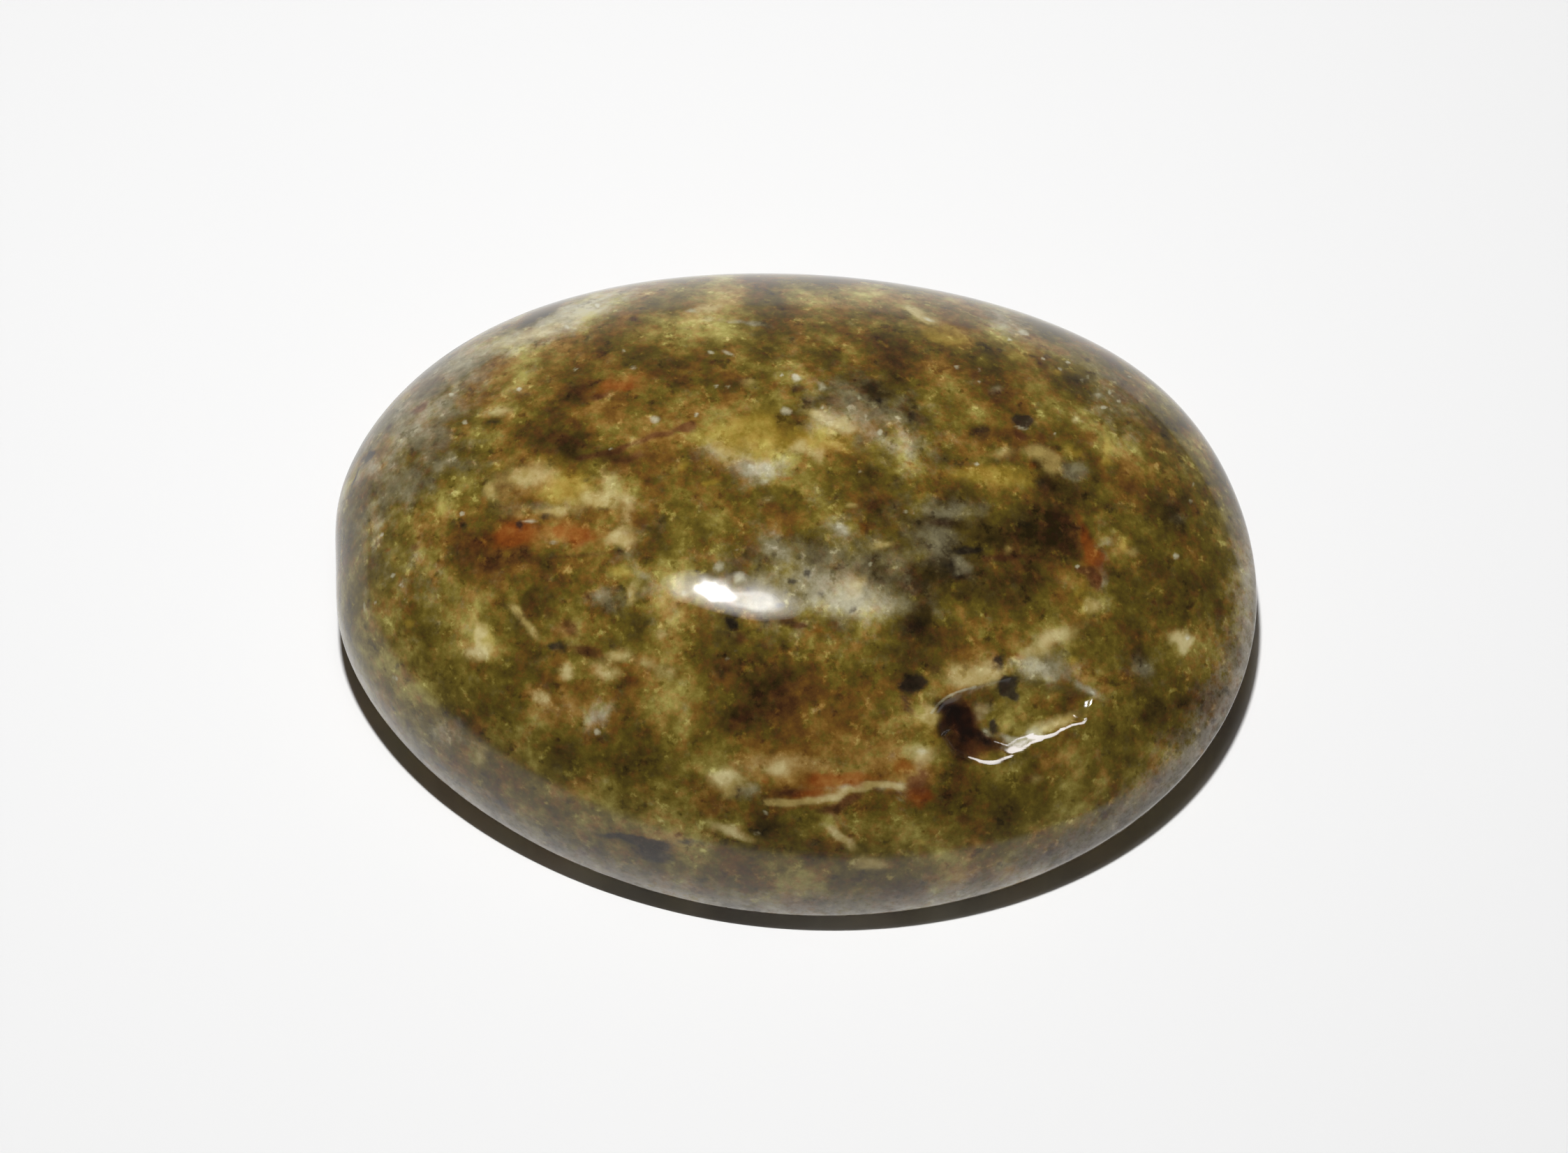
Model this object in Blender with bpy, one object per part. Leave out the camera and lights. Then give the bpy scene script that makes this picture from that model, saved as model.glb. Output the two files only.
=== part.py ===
"""Bloodstone: one oval stone, polished all over, with a high dome, a soft girdle, a low rounded
back that ends in a flat spot, and one shallow natural hollow that the polishing left."""

import math

import bmesh
import bpy
from mathutils import Vector

# Driving dimensions, in metres
LENGTH = 0.0402
WIDTH = 0.02995
THICKNESS = 0.011
GIRDLE_HEIGHT = 0.0022
GIRDLE_WAVE = 0.00095
FLAT_SHARE = 0.6
BACK_FULLNESS = 0.8
APEX_SHIFT = Vector((-0.0036, -0.00097, 0.0))

# The dome falls away faster towards one end: how much, at which bearing, over how wide an angle
END_SAG = 0.5
END_BEARING = -15.0
END_SPREAD = 36.0

# Unevenness of the hand-cut oval: number of bulges, share of the radius, bearing of one bulge
OUTLINE_BULGES = ((3, 0.009, -66.0), (4, 0.005, 45.0), (5, 0.003, 54.0))

# Smaller unevenness: bearing of the middle, angle that it spreads over, share of the radius
OUTLINE_DENTS = ((45.0, 18.0, 0.013), (-174.0, 9.0, -0.016))

# The shallow hollow near the rim, on the side that faces a viewer
HOLLOW_CENTRE = Vector((0.0095, -0.0080))
HOLLOW_LENGTH = 0.0069
HOLLOW_WIDTH = 0.0028
HOLLOW_DEPTH = 0.00036
HOLLOW_BEARING = 23.0

# Facets: round the stone, and from the flat spot to the top
AROUND = 80
RISE = 40

# Material of the polished stone: mossy olive green as linear colour
STONE_COLOUR = (0.095, 0.072, 0.016, 1.0)
STONE_ROUGHNESS = 0.12
STONE_IOR = 1.54


def clear_scene():
    for leftover in list(bpy.data.objects):
        bpy.data.objects.remove(leftover, do_unlink=True)


def nearness(bearing, middle, spread):
    """1 at the middle bearing, fading softly to 0 over the spread (both in degrees)."""
    away = (math.degrees(bearing) - middle + 180) % 360 - 180
    return math.exp(-((away / spread) ** 2))


def outline_share(bearing):
    """How far out the uneven oval lies, as a share of the plain ellipse."""
    share = 1.0
    for bulges, amount, peak in OUTLINE_BULGES:
        share *= 1 + amount * math.cos(bulges * (bearing - math.radians(peak)))
    for middle, spread, amount in OUTLINE_DENTS:
        share *= 1 + amount * nearness(bearing, middle, spread)
    return share


def girdle_height(bearing):
    """The widest line rises towards both ends of the stone."""
    return GIRDLE_HEIGHT + GIRDLE_WAVE * math.cos(2 * bearing)


def dome_profile(rise, bearing):
    """Share of the outline and of the height above the girdle, for a rise from 0 to a right angle."""
    sag = 1 + END_SAG * nearness(bearing, END_BEARING, END_SPREAD) * math.cos(rise) ** 2
    return math.cos(rise), math.sin(rise) ** sag


def back_profile(drop):
    """Share of the outline and of the height left above the table, down to the flat spot's edge."""
    reach = FLAT_SHARE + (1 - FLAT_SHARE) * math.cos(drop) ** BACK_FULLNESS
    return reach, 1 - math.sin(drop) ** BACK_FULLNESS


def stone_point(direction):
    """Moves a point of the unit sphere to the stone's surface."""
    bearing = math.atan2(direction.y, direction.x)
    height = girdle_height(bearing)
    rise = math.asin(max(-1.0, min(1.0, direction.z)))
    lowest_ring = math.pi / 2 - math.pi / RISE
    centre = Vector((0.0, 0.0, 0.0))
    if rise >= 0:
        reach, share = dome_profile(rise, bearing)
        z = height + (THICKNESS - height) * share
        centre = APEX_SHIFT * math.sin(rise) ** 2
    elif -rise <= lowest_ring + 1e-6:
        reach, share = back_profile(min(-rise / lowest_ring, 1.0) * math.pi / 2)
        z = height * share
    else:
        reach, z = 0.0, 0.0
    reach *= outline_share(bearing)
    x = LENGTH / 2 * reach * math.cos(bearing)
    y = WIDTH / 2 * reach * math.sin(bearing)
    return centre + Vector((x, y, z))


def hollow_depth(point):
    """Depth of the hollow under a point of the dome: a long soft trough."""
    turn = math.radians(HOLLOW_BEARING)
    offset = Vector((point.x, point.y)) - HOLLOW_CENTRE
    along = offset.x * math.cos(turn) + offset.y * math.sin(turn)
    across = offset.y * math.cos(turn) - offset.x * math.sin(turn)
    spread = (2 * along / HOLLOW_LENGTH) ** 2 + (2 * across / HOLLOW_WIDTH) ** 2
    return HOLLOW_DEPTH * math.exp(-spread)


def stone_mesh():
    stone = bmesh.new()
    bmesh.ops.create_uvsphere(stone, u_segments=AROUND, v_segments=RISE, radius=1.0)
    for vertex in stone.verts:
        on_dome = vertex.co.z > 0
        vertex.co = stone_point(vertex.co)
        if on_dome:
            vertex.co.z -= hollow_depth(vertex.co)
    lows = [min(vertex.co[axis] for vertex in stone.verts) for axis in (0, 1)]
    highs = [max(vertex.co[axis] for vertex in stone.verts) for axis in (0, 1)]
    middle = Vector(((lows[0] + highs[0]) / 2, (lows[1] + highs[1]) / 2, 0.0))
    bmesh.ops.translate(stone, verts=stone.verts, vec=-middle)
    bmesh.ops.recalc_face_normals(stone, faces=stone.faces)
    mesh = bpy.data.meshes.new("stone")
    stone.to_mesh(mesh)
    stone.free()
    mesh.shade_smooth()
    return mesh


def polished_bloodstone():
    material = bpy.data.materials.new("polished_bloodstone")
    material.use_nodes = True
    shader = material.node_tree.nodes["Principled BSDF"]
    shader.inputs["Base Color"].default_value = STONE_COLOUR
    shader.inputs["Roughness"].default_value = STONE_ROUGHNESS
    shader.inputs["Metallic"].default_value = 0.0
    shader.inputs["IOR"].default_value = STONE_IOR
    return material


def build():
    clear_scene()
    parts = bpy.data.collections.new("bloodstone")
    bpy.context.scene.collection.children.link(parts)
    stone = bpy.data.objects.new("stone", stone_mesh())
    stone.data.materials.append(polished_bloodstone())
    parts.objects.link(stone)


build()
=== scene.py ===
"""Looks of the polished bloodstone: the finely shaped stone with its mineral marks, the pale table
that it rests on, the small lamp over it and the camera of the close-up."""

import math

import bpy
import numpy as np
from mathutils import Euler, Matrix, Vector, noise


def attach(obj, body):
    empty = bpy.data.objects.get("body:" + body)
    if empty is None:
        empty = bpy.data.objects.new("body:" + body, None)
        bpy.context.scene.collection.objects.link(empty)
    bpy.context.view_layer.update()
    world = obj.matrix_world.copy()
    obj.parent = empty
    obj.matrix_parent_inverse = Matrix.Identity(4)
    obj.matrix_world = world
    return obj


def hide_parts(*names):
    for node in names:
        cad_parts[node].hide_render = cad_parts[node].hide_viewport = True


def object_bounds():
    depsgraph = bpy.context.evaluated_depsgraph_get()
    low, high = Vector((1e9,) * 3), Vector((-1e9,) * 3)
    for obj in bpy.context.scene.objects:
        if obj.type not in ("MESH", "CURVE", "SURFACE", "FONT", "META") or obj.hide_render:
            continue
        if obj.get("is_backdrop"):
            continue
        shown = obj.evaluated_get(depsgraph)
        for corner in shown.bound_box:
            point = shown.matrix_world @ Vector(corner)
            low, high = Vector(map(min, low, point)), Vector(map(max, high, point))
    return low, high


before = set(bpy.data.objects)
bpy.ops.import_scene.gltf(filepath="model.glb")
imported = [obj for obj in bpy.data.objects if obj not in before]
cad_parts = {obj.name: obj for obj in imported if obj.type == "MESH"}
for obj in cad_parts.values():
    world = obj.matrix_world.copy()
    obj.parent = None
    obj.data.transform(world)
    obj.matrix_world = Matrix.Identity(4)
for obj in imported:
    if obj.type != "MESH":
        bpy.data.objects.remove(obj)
cad_low, cad_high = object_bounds()

# Camera
# A hand-held close-up, taken from the near side about 25 degrees off straight above, with the
# stone's long axis turned a little in the picture.
PHOTO_WIDTH = 2246
PHOTO_HEIGHT = 1652
SENSOR_WIDTH_MM = 36.0
LENS_MM = 118.2
VIEW_TILT = math.radians(25.2)
VIEW_TURN = math.radians(4.8)
VIEW_DISTANCE = 0.220
AIM_HEIGHT = 0.005
AIM_LEFT = 0.0006
AIM_DOWN = 0.00096
PLACE_OF_STONE = Vector((0.00017, 0.00009, 0.0))

view_turning = Euler((VIEW_TILT, 0.0, VIEW_TURN)).to_matrix()
aim = PLACE_OF_STONE + Vector((0.0, 0.0, AIM_HEIGHT))
camera_data = bpy.data.cameras.new("close_up_camera")
camera_data.lens = LENS_MM
camera_data.sensor_width = SENSOR_WIDTH_MM
camera_data.clip_start = 0.01
camera = bpy.data.objects.new("close_up_camera", camera_data)
bpy.context.scene.collection.objects.link(camera)
camera.location = aim + view_turning @ Vector((-AIM_LEFT, -AIM_DOWN, VIEW_DISTANCE))
camera.rotation_euler = (VIEW_TILT, 0.0, VIEW_TURN)
bpy.context.scene.camera = camera


# Stone
# One lump of mossy jasper, ground by hand to an uneven oval dome over a low rounded back, and
# tumbled until it shines. It is carved here from a finely divided cube.
BASE_CUTS = 70
FINE_FROM = -0.37
DOME_ANGLE = math.radians(110)
CROWDING = 0.1
OUTLINE_BULGES = ((3, 0.009, -66.0), (4, 0.005, 45.0), (5, 0.003, 54.0))
OUTLINE_DENTS = ((45, 18, 0.013), (-174, 9, -0.016))
GIRDLE_HEIGHT = 0.0022
GIRDLE_WAVE = 0.00095
FLAT_SHARE = 0.6
BACK_FULLNESS = 0.8
APEX_SHIFT = np.array((-0.0036, -0.00097, 0.0))
END_SAG = 0.5
END_BEARING = math.radians(-15)
END_SPREAD = math.radians(36)
FOCAL_PIXELS = LENS_MM / SENSOR_WIDTH_MM * PHOTO_WIDTH
PIXEL_SIZE = VIEW_DISTANCE / FOCAL_PIXELS
# The rim of the natural pit near the right end, in pixels of the photograph, clockwise.
PIT_RIM = (
    (1338, 1022), (1350, 1004), (1378, 988), (1412, 978), (1450, 968), (1500, 976), (1540, 984),
    (1570, 996), (1562, 1014), (1555, 1032), (1523, 1046), (1490, 1060), (1454, 1082),
    (1420, 1093), (1385, 1088), (1364, 1080), (1348, 1054),
)
# Its walls slope over these widths in pixels, more steeply on its lower side, where the rim runs
# back to the left by more than PIT_LOW_RUN from one point to the next.
PIT_DEPTH = 0.00036
PIT_TOP_SLOPE = 30
PIT_LOW_SLOPE = 15
PIT_LOW_RUN = 12
PIT_ROUGH_DEPTH = 0.00005
PIT_ROUGH_CELL = 0.00040
PIT_MARGIN = 12
ON_TOP = 0.004
# Waves that the hand polishing left: their width and their depth.
WAVES = ((0.0030, 0.0000060), (0.0011, 0.0000024), (0.0005, 0.0000006))
# Small round dimples: place and radius in pixels of the photograph, and depth.
DIMPLES = (
    (1058, 829, 11, 0.000007), (1031, 812, 9, 0.000008), (982, 836, 15, 0.000003),
    (1090, 866, 18, 0.000005), (524, 656, 8, 0.00005), (508, 686, 6, 0.00005),
)

bpy.ops.object.select_all(action="DESELECT")
bpy.ops.mesh.primitive_cube_add(size=2.0)
stone = bpy.context.object
stone.name = "polished_stone"
stone.data.name = "polished_stone"
bpy.ops.object.mode_set(mode="EDIT")
bpy.ops.mesh.select_mode(type="FACE")
bpy.ops.mesh.subdivide(number_cuts=BASE_CUTS)
bpy.ops.mesh.select_all(action="DESELECT")
bpy.ops.object.mode_set(mode="OBJECT")
for face in stone.data.polygons:
    face.select = face.center.z > FINE_FROM
bpy.ops.object.mode_set(mode="EDIT")
bpy.ops.mesh.subdivide(number_cuts=1)
bpy.ops.object.mode_set(mode="OBJECT")


def coordinates(mesh):
    """The places of a mesh's vertices, one row each."""
    places = np.empty(len(mesh.vertices) * 3)
    mesh.vertices.foreach_get("co", places)
    return places.reshape(-1, 3)


def carved(blank):
    """Moves the points of the blank cube to the surface of the stone."""
    evened = np.tan(blank * math.pi / 4)
    direction = evened / np.linalg.norm(evened, axis=1, keepdims=True)
    bearing = np.arctan2(direction[:, 1], direction[:, 0])
    from_top = np.arccos(np.clip(direction[:, 2], -1, 1))
    on_dome = from_top <= DOME_ANGLE
    fall = np.clip(from_top / DOME_ANGLE, 0, 1) * math.pi / 2
    fall -= CROWDING * np.sin(2 * fall)
    drop = np.clip((from_top - DOME_ANGLE) / (math.pi - DOME_ANGLE), 0, 1) * math.pi
    edge_drop = np.clip(drop, 0, math.pi / 2)
    girdle = GIRDLE_HEIGHT + GIRDLE_WAVE * np.cos(2 * bearing)
    back_reach = FLAT_SHARE + (1 - FLAT_SHARE) * np.cos(edge_drop).clip(0) ** BACK_FULLNESS
    flat_reach = np.clip(2 - 2 * drop / math.pi, 0, 1)
    reach = np.where(on_dome, np.sin(fall), back_reach * flat_reach)
    top = cad_high.z - girdle
    on_back = girdle * (1 - np.sin(edge_drop) ** BACK_FULLNESS)
    sag = 1 + END_SAG * np.exp(-((bearing - END_BEARING) / END_SPREAD) ** 2) * np.sin(fall) ** 2
    height = np.where(on_dome, girdle + top * np.cos(fall).clip(0) ** sag, on_back)
    for bulges, amount, peak in OUTLINE_BULGES:
        reach = reach * (1 + amount * np.cos(bulges * (bearing - math.radians(peak))))
    for middle, spread, amount in OUTLINE_DENTS:
        away = (np.degrees(bearing) - middle + 180) % 360 - 180
        reach = reach * (1 + amount * np.exp(-((away / spread) ** 2)))
    size = cad_high - cad_low
    flat_places = np.stack((reach * np.cos(bearing), reach * np.sin(bearing), height), axis=1)
    places = flat_places * np.array((size.x / 2, size.y / 2, 1.0))
    lean = np.where(on_dome, np.cos(fall) ** 2, 0.0)
    return places + lean[:, None] * APEX_SHIFT


def in_photo(places):
    """Where points of the stone appear in the photograph, in pixels."""
    from_camera = (places - np.array(camera.location)) @ np.array(view_turning)
    across_down = np.stack((from_camera[:, 0], -from_camera[:, 1]), axis=1)
    middle = (PHOTO_WIDTH / 2, PHOTO_HEIGHT / 2)
    return across_down * -FOCAL_PIXELS / from_camera[:, 2:] + middle


def inside_pit(view):
    """How far points of the picture lie inside the pit's rim, and how near its lower side."""
    crossings = np.zeros(len(view), dtype=int)
    nearest = np.full(len(view), np.inf)
    lower = np.zeros(len(view))
    for start, end in zip(PIT_RIM, PIT_RIM[1:] + PIT_RIM[:1]):
        run = np.subtract(end, start)
        share = np.clip((view - start) @ run / (run @ run), 0, 1)
        gap = np.linalg.norm(view - start - share[:, None] * run, axis=1)
        lower = np.where(gap < nearest, float(run[0] < -PIT_LOW_RUN), lower)
        nearest = np.minimum(nearest, gap)
        spans = (view[:, 1] < start[1]) != (view[:, 1] < end[1])
        rise = run[1] if run[1] else 1.0
        meets = start[0] + (view[:, 1] - start[1]) * run[0] / rise
        crossings += spans & (view[:, 0] < meets)
    return np.where(crossings % 2, nearest, -nearest), lower


centres = np.empty(len(stone.data.polygons) * 3)
stone.data.polygons.foreach_get("center", centres)
centres = carved(centres.reshape(-1, 3))
around_pit = (inside_pit(in_photo(centres))[0] > -PIT_MARGIN) & (centres[:, 2] > ON_TOP)
bpy.ops.object.mode_set(mode="EDIT")
bpy.ops.mesh.select_all(action="DESELECT")
bpy.ops.object.mode_set(mode="OBJECT")
stone.data.polygons.foreach_set("select", around_pit)
bpy.ops.object.mode_set(mode="EDIT")
bpy.ops.mesh.subdivide(number_cuts=1)
bpy.ops.object.mode_set(mode="OBJECT")

places = carved(coordinates(stone.data))
low, high = places.min(axis=0), places.max(axis=0)
wanted_low, wanted_high = np.array(cad_low), np.array(cad_high)
places = (places - low) / (high - low) * (wanted_high - wanted_low) + wanted_low
stone.data.vertices.foreach_set("co", places.ravel())
stone.data.update()


def vertex_normals(mesh):
    """The outward directions at a mesh's vertices, one row each."""
    normals = np.empty(len(mesh.vertices) * 3)
    mesh.vertices.foreach_get("normal", normals)
    return normals.reshape(-1, 3)


inwards, low_side = inside_pit(in_photo(places))
wall = np.where(low_side > 0, PIT_LOW_SLOPE, PIT_TOP_SLOPE)
in_pit = np.clip(inwards / wall, 0, 1) * (places[:, 2] > ON_TOP)
in_pit = 1 - (1 - in_pit) ** 2
knobs = [
    noise.noise(Vector(place) / PIT_ROUGH_CELL) if share > 0 else 0.0
    for place, share in zip(places, in_pit)
]
depth = in_pit * (PIT_DEPTH + PIT_ROUGH_DEPTH * np.array(knobs))
for cell, height in WAVES:
    depth += height * np.array([noise.noise(Vector(place) / cell) for place in places])
for x, y, radius, dent in DIMPLES:
    away = np.linalg.norm(in_photo(places) - (x, y), axis=1) / radius
    depth += dent * np.exp2(-(away**2)) * (places[:, 2] > ON_TOP)
places = places - depth[:, None] * vertex_normals(stone.data)
places = np.clip(places, wanted_low, wanted_high)
stone.data.vertices.foreach_set("co", places.ravel())
stone.data.update()
stone.data.shade_smooth()

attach(stone, "root")
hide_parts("stone")

# Mineral marks
# Each row is one mark of the close-up: its middle, half length and half width in pixels of the
# photograph, the turn of its long side in degrees clockwise, and its strength. The side that the
# camera doesn't see carries the same kinds of marks, strewn anew.

# Patches paler than the ground, or darker with a minus sign. Most are the stone's own tone; some
# are painted light, paler along the top and left rims where the room is reflected and on the pit's
# lit lower wall, and painted shade, darker inside the pit.
TONE_AND_PAINTED_LIGHT_PATCHES = (
    (1727, 990, 60, 60, 0, -0.5), (1580, 1115, 70, 45, -20, -0.4),
    (1372, 1020, 24, 20, 0, -0.9), (1378, 1056, 20, 30, -18, -1.1),
    (772, 450, 24, 5, -26, -3.5), (1434, 449, 80, 40, 20, 0.4), (1590, 480, 75, 40, 35, -0.7),
    (700, 582, 75, 60, 0, 0.4), (1140, 582, 75, 60, 0, -0.5), (1287, 582, 75, 60, 0, -0.45),
    (1434, 582, 75, 60, 0, -0.4), (700, 715, 75, 60, 0, -0.5), (993, 715, 70, 60, 0, 0.3),
    (553, 849, 60, 70, 0, 0.5), (700, 849, 75, 65, 0, -0.3), (1434, 849, 75, 65, 0, -0.5),
    (1727, 849, 60, 70, 0, -0.5), (553, 982, 60, 65, 0, 0.4), (1140, 982, 75, 65, 0, -0.5),
    (1580, 982, 75, 65, 0, 0.45), (553, 1115, 50, 60, 30, 0.5), (1434, 1120, 75, 40, 0, 0.4),
    (1365, 465, 40, 16, 12, 0.7), (905, 448, 50, 14, -14, 0.4), (925, 483, 40, 16, -14, -0.6),
    (1430, 790, 110, 115, 0, -1.0), (1150, 440, 200, 36, 5, 0.7), (700, 490, 130, 50, -32, 0.6),
    (545, 820, 50, 130, 0, 0.6), (553, 985, 50, 50, 0, 0.4), (1130, 990, 90, 45, 0, -0.5),
    (990, 985, 60, 60, 0, -0.6), (846, 985, 60, 45, 0, -0.3), (1580, 600, 80, 70, 30, -0.5),
    (1580, 715, 70, 50, 0, -0.35), (700, 985, 70, 50, 0, -0.35), (1455, 1020, 90, 34, -8, -0.7),
    (1330, 500, 60, 40, 0, 0.4), (993, 850, 50, 40, 0, -0.4),
    (800, 560, 90, 30, -12, -0.35), (815, 638, 80, 17, -5, -1.4), (850, 512, 26, 10, 0, -0.6),
    (930, 508, 30, 11, 0, -0.8), (714, 590, 16, 7, -8, 0.6), (705, 605, 22, 6, -8, -0.9),
    (590, 700, 64, 34, -28, -0.7), (574, 716, 30, 22, 0, -0.5), (830, 560, 22, 8, -15, -0.6),
    (790, 468, 84, 20, -24, 0.9), (900, 430, 60, 14, -8, 0.5), (1120, 410, 160, 14, 2, 0.3),
    (1175, 443, 78, 20, 4, -0.8), (1010, 475, 50, 20, -8, 0.7), (1088, 480, 24, 18, 20, 0.3),
    (1075, 532, 50, 16, 0, -0.5), (1180, 500, 90, 26, 5, -0.45), (1290, 525, 60, 45, 20, -0.35),
    (1188, 573, 28, 9, 3, -1.1), (1145, 557, 11, 6, 0, -1.1), (1248, 555, 15, 9, 40, -0.8),
    (1262, 578, 12, 9, 40, -0.8), (1306, 597, 13, 10, 30, -0.9), (1100, 573, 10, 9, 0, -0.6),
    (1110, 618, 115, 34, 4, 0.55), (1180, 597, 22, 10, 15, 0.7), (1210, 612, 22, 12, 0, 0.6),
    (1095, 650, 60, 18, 0, 0.4), (1162, 645, 26, 18, 0, 0.6), (1230, 645, 46, 25, 20, 0.3),
    (1303, 650, 42, 24, 10, -0.4), (1078, 672, 32, 20, 0, 0.9), (1030, 648, 35, 16, -10, 0.4),
    (955, 662, 40, 25, -5, -0.9), (1140, 676, 14, 8, 0, -0.7), (1187, 524, 16, 8, 0, -0.5),
    (1325, 454, 24, 9, 25, 0.9), (1365, 480, 34, 13, 10, 0.6), (1440, 462, 28, 14, 20, 0.4),
    (1460, 505, 32, 14, 0, 0.3), (1505, 545, 45, 26, 20, -0.45), (1350, 598, 30, 40, 0, -0.3),
    (1405, 617, 24, 16, 10, -1.1), (1437, 684, 56, 13, 0, 0.6), (1505, 658, 28, 15, 0, 0.7),
    (1537, 648, 14, 10, 20, 0.5), (1538, 676, 14, 11, 0, 0.6), (1500, 692, 16, 16, 0, -1.1),
    (1430, 662, 15, 6, 0, -0.6), (1453, 655, 8, 8, 0, -0.6), (1584, 648, 6, 20, -5, 0.9),
    (1640, 675, 22, 13, 20, 0.5), (1655, 645, 28, 18, 20, -0.5), (1590, 684, 32, 9, 0, -0.5),
    (705, 718, 42, 24, -20, 0.45), (758, 690, 46, 28, 0, 0.6), (860, 715, 32, 18, 0, 0.7),
    (871, 690, 16, 11, 30, 0.8), (810, 700, 34, 28, 0, 0.35), (888, 775, 20, 13, 0, 0.8),
    (888, 818, 13, 12, 0, 0.8), (905, 852, 9, 16, 20, 0.8), (893, 740, 14, 24, 0, 0.5),
    (663, 754, 10, 8, 0, -0.9), (680, 790, 52, 26, 0, -0.45), (806, 800, 40, 14, -3, -0.5),
    (750, 815, 15, 10, 20, 0.4), (769, 822, 14, 10, 0, 0.4), (620, 891, 12, 10, 0, 0.4),
    (692, 915, 12, 26, -15, 0.8), (680, 936, 13, 8, 0, 0.9), (740, 876, 14, 8, 40, 0.7),
    (757, 895, 18, 6, 50, 0.6), (783, 878, 12, 12, 0, -0.7), (814, 900, 16, 12, 0, -0.7),
    (839, 936, 22, 12, 10, -0.9), (794, 927, 19, 10, 10, -0.9), (860, 875, 30, 15, 0, -0.5),
    (865, 857, 12, 9, 0, 0.5), (808, 964, 12, 10, 0, 0.6), (866, 962, 22, 12, 30, 0.7),
    (887, 939, 15, 8, 0, 0.8), (598, 945, 32, 20, 0, -0.5), (710, 952, 32, 13, 0, -0.6),
    (640, 1000, 85, 30, 0, -0.3), (985, 725, 44, 16, 0, -0.6), (1000, 765, 60, 24, 0, -0.35),
    (1138, 762, 30, 22, 30, -0.3), (1110, 781, 30, 12, 35, 0.6), (1205, 758, 13, 8, 40, 0.7),
    (1264, 780, 21, 6, -5, 0.6), (1226, 840, 22, 18, -30, 0.2), (1140, 840, 72, 42, 0, 0.1),
    (1252, 797, 10, 7, 0, -0.7), (1250, 832, 8, 18, 25, -0.8), (1129, 890, 21, 9, 5, -1.1),
    (1048, 894, 11, 10, 0, -1.1), (1090, 922, 15, 9, 0, -0.7), (1060, 915, 9, 9, 0, -0.7),
    (930, 889, 13, 11, 30, -0.9), (1268, 930, 36, 20, 25, -0.4), (1210, 895, 30, 13, 0, -0.2),
    (1308, 897, 30, 19, -25, -1.1), (1290, 919, 10, 6, 30, 0.5), (1070, 962, 62, 20, 0, -0.7),
    (1160, 968, 60, 22, 0, -0.3), (1161, 919, 15, 9, 0, 0.5), (1400, 762, 120, 55, 0, -0.6),
    (1465, 750, 56, 30, 0, -0.6), (1350, 750, 32, 7, 3, -0.7), (1320, 775, 14, 50, 0, -0.4),
    (1358, 730, 36, 11, 0, 0.9), (1345, 775, 21, 20, 0, 0.8), (1378, 812, 13, 13, 0, 1.1),
    (1361, 811, 9, 12, 0, -0.7), (1430, 862, 90, 24, 0, -0.2), (1555, 788, 17, 26, 0, 0.6),
    (1573, 758, 9, 30, 0, 0.8), (1565, 869, 18, 15, 0, 0.9), (1550, 870, 12, 26, 0, 0.3),
    (1582, 857, 14, 10, 0, 0.4), (1590, 819, 20, 8, 10, -0.8), (1607, 870, 15, 10, 0, -0.8),
    (1505, 920, 60, 24, -30, 0.7), (1495, 955, 38, 16, 0, 0.9), (1550, 922, 16, 6, 10, 0.4),
    (1394, 968, 31, 14, 0, 1), (1430, 948, 11, 14, 0, -1.3), (1448, 975, 13, 10, 0, -1.1),
    (1309, 981, 15, 15, 0, -1.6), (1610, 783, 8, 10, -40, 0.9), (1624, 791, 11, 7, 0, 0.5),
    (1685, 798, 8, 8, 0, 1), (1683, 912, 11, 10, 0, 1.1), (1701, 915, 9, 10, 0, 1.2),
    (1693, 929, 8, 9, 0, 0.9), (1670, 860, 90, 90, 0, -0.25), (1636, 957, 17, 12, 0, 0.5),
    (1335, 1022, 11, 22, 15, 0.9), (1322, 1080, 25, 14, 0, 0.8), (1369, 1023, 21, 17, 0, -1.2),
    (1411, 1060, 33, 9, 25, -1.2), (1407, 1018, 14, 15, 0, 0.5), (1500, 1000, 48, 17, 0, -0.5),
    (1515, 1036, 38, 10, -20, 1), (1368, 1080, 11, 30, 0, -0.7), (1400, 1145, 66, 36, -5, -0.8),
    (1345, 1120, 15, 14, 0, -0.8), (1545, 1078, 44, 30, 0, 0.2), (1619, 1090, 12, 11, 0, -0.8),
    (1684, 1019, 25, 22, 0, -0.8), (1583, 1056, 13, 9, 0, -0.5), (1140, 1105, 62, 22, 0, 0.45),
    (1200, 1120, 22, 8, 0, 0.4), (1127, 1134, 25, 8, 0, -1.1), (1043, 1121, 23, 17, 0, 0.9),
    (1059, 1146, 12, 9, 30, 0.6), (1133, 1178, 44, 15, 0, -1), (1135, 1211, 13, 10, 0, -0.6),
    (1186, 1160, 20, 7, 0, -0.9), (1217, 1148, 21, 9, -25, -0.8), (1050, 1193, 29, 7, 22, 0.8),
    (1060, 1210, 25, 6, 15, -0.6), (1205, 1200, 22, 7, 38, 0.9), (1245, 1239, 27, 8, 0, 0.7),
    (930, 1055, 14, 22, 0, -0.8), (975, 1010, 22, 10, 0, 0.3), (800, 1090, 46, 32, 0, -0.7),
    (742, 1064, 17, 10, 20, -0.5), (815, 1142, 46, 15, 0, 0.4), (835, 1138, 18, 13, 0, 0.4),
    (688, 1086, 13, 20, 10, 0.5), (852, 1030, 17, 18, 0, 0.5), (776, 999, 15, 9, 30, 0.6),
    (1059, 1029, 15, 8, 0, -0.8), (1124, 1008, 12, 12, 0, -0.6), (1310, 1046, 15, 10, 0, -0.9),
    (1030, 1060, 90, 30, 0, 0.1), (1200, 1060, 80, 25, 0, 0.15), (944, 1118, 12, 9, 20, 0.5),
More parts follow.
